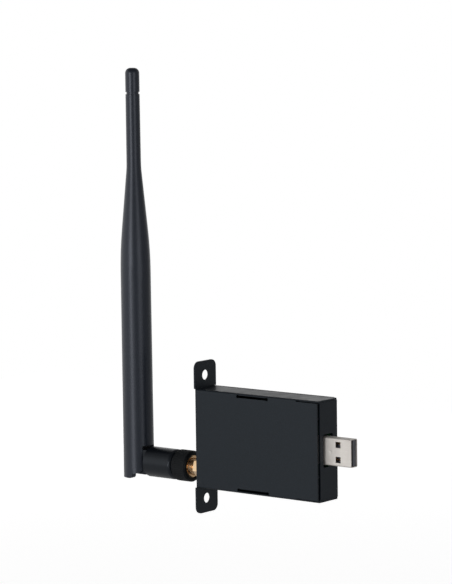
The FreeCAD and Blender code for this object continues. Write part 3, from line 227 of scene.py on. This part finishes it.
finishes = {
    "powder_coat": powderCoatedSteel(),
    "black_whip": mouldedElastomer(),
    "black_elbow": mouldedNylon(),
    "black_sleeve": sleeveAbs(),
    # hard gold over nickel on turned brass: warm, with fine lathe rings across the axis
    "gold_plate": metalFinish("goldPlatedBrass", "#f4d8b3", "#e3bb8c", 0.14, 0.24, (12, 1, 1)),
    # satin nickel on drawn steel: pale and slightly warm, with draw lines spaced wide enough to show
    "nickel_plate": metalFinish("nickelPlatedSteel", "#f0ece7", "#e8e3de", 0.6, 0.7, (0.08, 1, 1), 1500),
    "zinc_screw": metalFinish("zincPlatedSteel", "#b9bcc2", "#a6a9b0", 0.28, 0.38),
    "nickel_brass": metalFinish("nickelPlatedBrass", "#cfc6b2", "#beb59f", 0.22, 0.32),
    "tin_plate": metalFinish("tinPlatedSteel", "#c9cac8", "#b9bab8", 0.3, 0.42),
    "copper": metalFinish("drawnCopper", "#d98a5f", "#c4764d", 0.25, 0.35, (1, 1, 0.1)),
    "spring_steel": metalFinish("springSteel", "#9a9b9e", "#86878a", 0.3, 0.4),
    # black oxide on steel screws: dark, half matt
    "black_screw": plainFinish("blackOxideSteel", "#15161a", "#1d1e22", 0.4, 1500, 0.004, Metallic=0.6),
    # glass-filled polyester of the plug's tongue: dark grey, smooth
    "plug_plastic": plainFinish("plugPolyester", "#62646c", "#6a6c74", 0.38),
    "socket_plastic": plainFinish("socketNylon", "#1b1b1d", "#222225", 0.42),
    "ptfe": plainFinish("turnedPtfe", "#e9e8e2", "#dddcd5", 0.45),
    # green solder resist over glass epoxy: glossy, with the weave faintly raised
    "board_green": plainFinish("solderResist", "#0c4523", "#0a3a1d", 0.25, 1800, 0.01),
    "chip_epoxy": plainFinish("chipEpoxy", "#1a1a1c", "#202023", 0.55),
    "ferrite": plainFinish("sinteredFerrite", "#34353a", "#2a2b30", 0.6),
    "capacitor_yellow": plainFinish("mouldedTantalum", "#d99a2b", "#c98a20", 0.42),
    "coax_jacket": plainFinish("coaxJacket", "#6b3a1e", "#5c3018", 0.3),
}
for entry in frame["record"]["subparts"]:
    nodes[entry["node"]].material_slots[0].material = finishes[entry["material_slot"]]
print("finishes on", len(nodes), "nodes")


# Piece helpers

meshSet = {
    "merge": 0.0005,  # mm, vertices closer than this are one
    "flat": 0.3,  # degrees, faces closer to one plane than this are one
}


def copyOf(name):
    # the node's mesh with its loose triangles joined and its flat faces made whole
    bm = bmesh.new()
    bm.from_mesh(nodes[name].data)
    bmesh.ops.remove_doubles(bm, verts=bm.verts, dist=meshSet["merge"] * mm)
    bmesh.ops.dissolve_limit(bm, angle_limit=math.radians(meshSet["flat"]), verts=bm.verts, edges=bm.edges)
    return bm


def addPiece(name, bm, slot, body, replaced=()):
    mesh = bpy.data.meshes.new(name)
    bm.to_mesh(mesh)
    bm.free()
    mesh.shade_smooth()
    mesh.materials.append(finishes[slot])
    piece = bpy.data.objects.new(name, mesh)
    bpy.context.scene.collection.objects.link(piece)
    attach(piece, body)
    if replaced:
        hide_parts(*replaced)
    return piece


def soften(piece, width, segments=3, angle=30):
    edge = piece.modifiers.new("softEdges", "BEVEL")
    edge.width = width * mm
    edge.segments = segments
    edge.limit_method = "ANGLE"
    edge.angle_limit = math.radians(angle)
    edge.use_clamp_overlap = True
    even = piece.modifiers.new("evenShading", "WEIGHTED_NORMAL")
    even.keep_sharp = True


def turned(points, axisHeight, steps):
    # a closed outline of (x, radius) in mm, spun full circle about the jack's axis
    bm = bmesh.new()
    ring = [bm.verts.new((x * mm, 0, axisHeight + radius * mm)) for x, radius in points]
    edges = [bm.edges.new(pair) for pair in zip(ring, ring[1:] + ring[:1])]
    bmesh.ops.spin(bm, geom=ring + edges, cent=(0, 0, axisHeight), axis=(1, 0, 0), dvec=(0, 0, 0),
                   angle=math.tau, steps=steps, use_merge=True)
    bmesh.ops.remove_doubles(bm, verts=bm.verts, dist=meshSet["merge"] * mm)
    bmesh.ops.recalc_face_normals(bm, faces=bm.faces)
    return bm


def addThread(bm, axisHeight, start, end, values):
    # one trapezoid of the thread's section, swept round and along the axis
    low, high = values["base"] * mm, values["crest"] * mm
    wide, narrow = values["baseWidth"] / 2 * mm, values["crestWidth"] / 2 * mm
    corners = ((-wide, low), (-narrow, high), (narrow, high), (wide, low))
    verts = [bm.verts.new((start * mm + wide + x, 0, axisHeight + radius)) for x, radius in corners]
    face = bm.faces.new(verts)
    turns = (end - start - values["baseWidth"]) / values["pitch"]
    steps = round(turns * values["steps"])
    made = bmesh.ops.spin(bm, geom=[face], cent=(0, 0, axisHeight), axis=(1, 0, 0),
                          dvec=(values["pitch"] * mm / values["steps"], 0, 0),
                          angle=math.tau * steps / values["steps"], steps=steps)
    # the sweep's own faces, found by walking back over it from its last ones
    around = {near for vert in made["geom_last"] if isinstance(vert, bmesh.types.BMVert)
              for near in vert.link_faces} | {face}
    edge = set(around)
    while edge:
        edge = {near for seen in edge for link in seen.edges for near in link.link_faces} - around
        around |= edge
    bmesh.ops.recalc_face_normals(bm, faces=list(around))


# Case

caseSet = {"paintRadius": 0.1, "screwRadius": 0.08}  # mm

soften(addPiece("coverPainted", copyOf("cover_shell"), "powder_coat", "case", ["cover_shell"]),
       caseSet["paintRadius"])
soften(addPiece("basePainted", copyOf("base_shell"), "powder_coat", "case", ["base_shell"]),
       caseSet["paintRadius"])
soften(addPiece("backScrews", copyOf("cover_screws"), "black_screw", "case", ["cover_screws"]),
       caseSet["screwRadius"])
print("case made")


# Plug

plugSet = {"shellRadius": 0.06, "tongueRadius": 0.1, "contactRadius": 0.04}  # mm

soften(addPiece("plugShell", copyOf("usb_plug_shell"), "nickel_plate", "case", ["usb_plug_shell"]),
       plugSet["shellRadius"])
soften(addPiece("plugTongue", copyOf("usb_plug_insulator"), "plug_plastic", "case", ["usb_plug_insulator"]),
       plugSet["tongueRadius"])
soften(addPiece("plugContacts", copyOf("usb_contacts"), "gold_plate", "case", ["usb_contacts"]),
       plugSet["contactRadius"])
print("plug made")


# Jack and coupling nut

jackSet = {
    # mm, from the case's end at 0
    "core": 2.74,  # radius under the thread
    "endChamfer": 0.2,
    "mouth": (2.3, 1.9),  # radius and depth
    "bore": 2.1,
    "threadStart": 0.15,  # from the jack's free end
    "threadEnd": 0.6,
    "runOut": 0.4,
    "plate": 0.8,  # the end plate, which the flange stands behind
    "flangeThick": 2.0,
    "flangeFlats": 8.0,
    "flangeRadius": 0.2,
    "coreWall": 1.0,
    "stem": (1.3, 0.735),  # radii outside and inside
    "nutRadius": 0.15,
    "nutTurn": -15,  # degrees, as it was tightened
    "washerRadius": 0.05,
    "steps": 64,
}
jackThread = {
    "pitch": 0.7056,  # mm, 36 turns per inch
    "base": 2.7,  # radii, the base a little under the core's face
    "crest": 3.175,
    "baseWidth": 0.56,
    "crestWidth": 0.1,
    "steps": 36,  # to a turn
}
jackLow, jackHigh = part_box("bulkhead_jack")
jackAxis = (jackLow.z + jackHigh.z) / 2


def makeJack(values, thread):
    left, right = jackLow.x / mm, jackHigh.x / mm
    radius = thread["crest"]
    flangeBack = values["plate"] + values["flangeThick"]
    mouth, mouthDepth = values["mouth"]
    stem, stemBore = values["stem"]
    floor = flangeBack - values["coreWall"]
    outline = [
        (left, mouth),
        (left, values["core"] - values["endChamfer"]),
        (left + values["endChamfer"], values["core"]),
        (values["threadEnd"] - values["runOut"], values["core"]),
        (values["threadEnd"], radius),
        (flangeBack, radius),
        (flangeBack, stem),
        (right, stem),
        (right, stemBore),
        (floor, stemBore),
        (floor, values["bore"]),
        (left + mouthDepth, values["bore"]),
        (left + mouthDepth, mouth),
    ]
    bm = turned(outline, jackAxis, values["steps"])
    addThread(bm, jackAxis, left + values["threadStart"], values["threadEnd"], thread)
    corner = values["flangeFlats"] / 2 / math.cos(math.pi / 6) * mm
    stand = Matrix.Translation((values["plate"] * mm, 0, jackAxis)) @ Matrix.Rotation(math.pi / 2, 4, "Y")
    hexagon = bmesh.ops.create_circle(bm, cap_ends=True, segments=6, radius=corner, matrix=stand)["verts"]
    first = hexagon[0].link_faces[0]
    grown = bmesh.ops.extrude_face_region(bm, geom=[first], use_keep_orig=True)["geom"]
    far = [item for item in grown if isinstance(item, bmesh.types.BMVert)]
    bmesh.ops.translate(bm, verts=far, vec=(values["flangeThick"] * mm, 0, 0))
    flange = {face for vert in hexagon + far for face in vert.link_faces}
    bmesh.ops.recalc_face_normals(bm, faces=list(flange))
    edges = list({edge for face in flange for edge in face.edges})
    bmesh.ops.bevel(bm, geom=edges, offset=values["flangeRadius"] * mm, affect="EDGES", segments=2,
                    profile=0.5, material=-1)
    return bm


addPiece("jackBody", makeJack(jackSet, jackThread), "gold_plate", "case", ["bulkhead_jack"])
nutCopy = copyOf("bulkhead_nut")
bmesh.ops.rotate(nutCopy, verts=nutCopy.verts, cent=(0, 0, jackAxis),
                 matrix=Matrix.Rotation(math.radians(jackSet["nutTurn"]), 3, "X"))
soften(addPiece("jackNut", nutCopy, "gold_plate", "case", ["bulkhead_nut"]), jackSet["nutRadius"])
soften(addPiece("jackWasher", copyOf("bulkhead_washer"), "gold_plate", "case", ["bulkhead_washer"]),
       jackSet["washerRadius"], 2)
print("jack made")

couplingSet = {
    "chamfer": 0.8,  # mm
    "seat": 5.1,  # radius the insert sits in
    "back": 0.45,
    "backBore": 2.7,
    "knurlEdge": 0.35,  # plain band between the knurl and the chamfer
    "ribs": 56,
    "ribDepth": 0.14,
    "near": 0.01,  # how close a vertex lies to the knurled band to count as on it
    "edge": 0.1,
}
insertSet = {
    "chamfer": 0.25,  # mm
    "wall": 1.6,
    "backBore": 2.6,
    "root": 3.6,  # radius outside the thread
    "countersink": 0.4,
    "threadStart": 0.3,  # from the wall
    "steps": 64,
}
insertThread = {
    "pitch": jackThread["pitch"],
    "base": 3.66,
    "crest": 3.225,  # clear of the jack's crest
    "baseWidth": 0.56,
    "crestWidth": 0.14,
    "steps": 36,
}


def makeSleeve(values):
    low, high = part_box("coupling_sleeve")
    left, right, radius = low.x / mm, high.x / mm, (high.z - low.z) / 2 / mm
    rim, plain, near = values["chamfer"], values["chamfer"] + values["knurlEdge"], values["near"]
    outline = [
        (right, values["seat"]),
        (right, radius - rim),
        (right - rim, radius),
        (right - plain, radius),
        (left + plain, radius),
        (left + rim, radius),
        (left, radius - rim),
        (left, values["backBore"]),
        (left + values["back"], values["backBore"]),
        (left + values["back"], values["seat"]),
    ]
    steps = values["ribs"] * 4  # two steps of each rib stand out, two lie back
    bm = turned(outline, jackAxis, steps)
    step = math.tau / steps
    hollow = [vert for vert in bm.verts
              if left + plain - near < vert.co.x / mm < right - plain + near
              and math.hypot(vert.co.y, vert.co.z - jackAxis) / mm > radius - near
              and round(math.atan2(vert.co.y, vert.co.z - jackAxis) / step) % 4 in (2, 3)]
    shrink = 1 - values["ribDepth"] / radius
    bmesh.ops.scale(bm, vec=(1, shrink, shrink), space=Matrix.Translation((0, 0, -jackAxis)), verts=hollow)
    return bm


def makeInsert(values, thread):
    low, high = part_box("coupling_insert")
    left, right, radius = low.x / mm, high.x / mm, (high.z - low.z) / 2 / mm
    wallEnd, mouth = left + values["wall"], right - values["countersink"]
    outline = [
        (right, values["root"] + values["countersink"]),
        (right, radius - values["chamfer"]),
        (right - values["chamfer"], radius),
        (left, radius),
        (left, values["backBore"]),
        (wallEnd, values["backBore"]),
        (wallEnd, values["root"]),
        (mouth, values["root"]),
    ]
    bm = turned(outline, jackAxis, values["steps"])
    addThread(bm, jackAxis, wallEnd + values["threadStart"], mouth, thread)
    return bm


soften(addPiece("couplingSleeve", makeSleeve(couplingSet), "black_sleeve", "coupling_nut",
                ["coupling_sleeve"]), couplingSet["edge"], 2, 40)
addPiece("couplingInsert", makeInsert(insertSet, insertThread), "gold_plate", "coupling_nut",
         ["coupling_insert"])
print("coupling nut made")


# Elbow and whip

elbowSet = {
    "shoulder": 1.7,  # mm
    "near": (0.01, 0.05),  # how close an edge lies to the end, and to the barrel's radius, to be its rim
    "edge": 0.25,
}
whipSet = {"edge": 0.3}


def makeElbow(values):
    # the end by the coupling nut is well rounded, as on the real moulding
    bm = copyOf("knuckle")
    low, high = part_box("knuckle")
    inner = (high.z - low.z) / 2 - values["near"][1] * mm
    rim = [edge for edge in bm.edges if all(
        high.x - vert.co.x < values["near"][0] * mm and math.hypot(vert.co.y, vert.co.z - jackAxis) > inner
        for vert in edge.verts)]
    bmesh.ops.bevel(bm, geom=rim, offset=values["shoulder"] * mm, affect="EDGES", segments=6, profile=0.5,
                    material=-1)
    return bm


soften(addPiece("elbow", makeElbow(elbowSet), "black_elbow", "elbow", ["knuckle"]), elbowSet["edge"])
soften(addPiece("whip", copyOf("whip_sleeve"), "black_whip", "whip", ["whip_sleeve"]), whipSet["edge"])
print("antenna made")


# Studio

studioSet = {
    "floorDrop": 0.17,  # metres below the lowest part, so the whip clears it when it hangs down
    "floorSize": 2.4,
    "floorColour": "#f4f4f4",
    "floorGlow": (0.75, 0.88),  # what the camera sees added to the floor, near and far
    "floorFar": (0.5, 1.8),  # metres
    "floorSide": (-0.9, 0.3),  # metres towards the big side, between which metal sees it brighten
    "floorMirror": 0.3,
    "fill": 0.29,  # level of the room all round at the height of the table
    "bigSide": {"azimuth": -100, "from": -0.3, "to": 0.6, "level": 0.7},
    "smallSide": {"azimuth": 70, "from": 0.94, "to": 1.0, "level": 1.8},
    "dim": (0.2, 0.85),  # heights of a direction between which the room darkens upwards
    "ceiling": 0.06,
    "mirrored": 0.1,  # share of the white background that metal and gloss show in every direction
}


def smoothly(tree, value, start, end, low, high):
    # a value eased from low to high between start and end
    return addNode(tree, "ShaderNodeMapRange", {
        "Value": value, "From Min": start, "From Max": end, "To Min": low, "To Max": high},
        interpolation_type="SMOOTHSTEP").outputs[0]


def seenShare(tree, mirrored):
    # 1 where the camera sees it, straight or through something clear, and a share of that in a mirror
    path = addNode(tree, "ShaderNodeLightPath").outputs
    plain = addNode(tree, "ShaderNodeMath", {0: path["Is Camera Ray"], 1: path["Is Transmission Ray"]},
                    operation="MAXIMUM").outputs[0]
    glossy = addNode(tree, "ShaderNodeMath", {0: path["Is Glossy Ray"], 1: mirrored},
                     operation="MULTIPLY").outputs[0]
    return addNode(tree, "ShaderNodeMath", {0: plain, 1: glossy}, operation="MAXIMUM").outputs[0]


def makeFloor(values):
    bm = bmesh.new()
    bmesh.ops.create_grid(bm, x_segments=1, y_segments=1, size=values["floorSize"] / 2)
    bmesh.ops.translate(bm, verts=bm.verts, vec=(0, 0, cadBox[0].z - values["floorDrop"]))
    mesh = bpy.data.meshes.new("floor")
    bm.to_mesh(mesh)
    bm.free()
    floor = bpy.data.objects.new("floor", mesh)
    bpy.context.scene.collection.objects.link(floor)
    material = bpy.data.materials.new("floorPaper")
    material.use_nodes = True
    tree = material.node_tree
    tree.nodes.clear()
    where = addNode(tree, "ShaderNodeTexCoord").outputs["Object"]
    far = addNode(tree, "ShaderNodeVectorMath", {0: where}, operation="LENGTH").outputs["Value"]
    glow = smoothly(tree, far, *values["floorFar"], *values["floorGlow"])
    towards = addNode(tree, "ShaderNodeVectorMath", {0: where, 1: outward(values["bigSide"]["azimuth"])},
                      operation="DOT_PRODUCT").outputs["Value"]
    sided = smoothly(tree, towards, *values["floorSide"], 0, values["floorMirror"])
    power = addNode(tree, "ShaderNodeMath", {0: glow, 1: seenShare(tree, sided)}, operation="MULTIPLY")
    matt = addNode(tree, "ShaderNodeBsdfDiffuse", {"Color": toLinear(values["floorColour"])})
    shine = addNode(tree, "ShaderNodeEmission", {"Color": (1, 1, 1, 1), "Strength": power.outputs[0]})
    seen = addNode(tree, "ShaderNodeAddShader", {0: matt.outputs[0], 1: shine.outputs[0]})
    clear = addNode(tree, "ShaderNodeBsdfTransparent")
    under = addNode(tree, "ShaderNodeNewGeometry").outputs["Backfacing"]
    fromAbove = addNode(tree, "ShaderNodeMixShader", {0: under, 1: seen.outputs[0], 2: clear.outputs[0]})
    addNode(tree, "ShaderNodeOutputMaterial", {"Surface": fromAbove.outputs[0]})
    mesh.materials.append(material)


def makeRoom(values):
    # a white wall of light to the left and behind, a narrow pale one at the right, a dim ceiling
    world = bpy.data.worlds.new("room")
    world.use_nodes = True
    bpy.context.scene.world = world
    tree = world.node_tree
    tree.nodes.clear()
    way = addNode(tree, "ShaderNodeTexCoord").outputs["Generated"]
    level = values["fill"]
    for side in (values["bigSide"], values["smallSide"]):
        towards = addNode(tree, "ShaderNodeVectorMath", {0: way, 1: outward(side["azimuth"])},
                          operation="DOT_PRODUCT").outputs["Value"]
        wall = smoothly(tree, towards, side["from"], side["to"], 0, side["level"])
        level = addNode(tree, "ShaderNodeMath", {0: level, 1: wall}, operation="ADD").outputs[0]
    height = addNode(tree, "ShaderNodeSeparateXYZ", {"Vector": way}).outputs["Z"]
    dim = smoothly(tree, height, *values["dim"], 0, 1)
    # a Mix node of values has its factor at 0 and the values at 2 and 3
    lit = addNode(tree, "ShaderNodeMix", {0: dim, 2: level, 3: values["ceiling"]}).outputs[0]
    white = seenShare(tree, values["mirrored"])
    strength = addNode(tree, "ShaderNodeMix", {0: white, 2: lit, 3: 1.0})
    light = addNode(tree, "ShaderNodeBackground", {"Color": (1, 1, 1, 1), "Strength": strength.outputs[0]})
    addNode(tree, "ShaderNodeOutputWorld", {"Surface": light.outputs[0]})


lampSet = {
    # metres and watts; it lights the bands along the whip
    "frontStrip": {"azimuth": -1, "elevation": 1, "far": 1.2, "size": (0.46, 0.62), "watts": 3.7},
}


def makeLamps(lamps):
    centre = (cadBox[0] + cadBox[1]) / 2
    for name, values in lamps.items():
        out = outward(values["azimuth"], values["elevation"])
        data = bpy.data.lights.new(name, "AREA")
        data.shape = "RECTANGLE"
        data.size, data.size_y = values["size"]
        data.energy = values["watts"]
        lamp = bpy.data.objects.new(name, data)
        lamp.rotation_mode = "QUATERNION"
        lamp.rotation_quaternion = out.to_track_quat("Z", "Y")
        lamp.location = centre + out * values["far"]
        lamp.visible_camera = False
        bpy.context.scene.collection.objects.link(lamp)


makeFloor(studioSet)
makeRoom(studioSet)
makeLamps(lampSet)
bpy.context.scene.view_settings.view_transform = "Standard"
print("studio made")

bpy.context.view_layer.update()
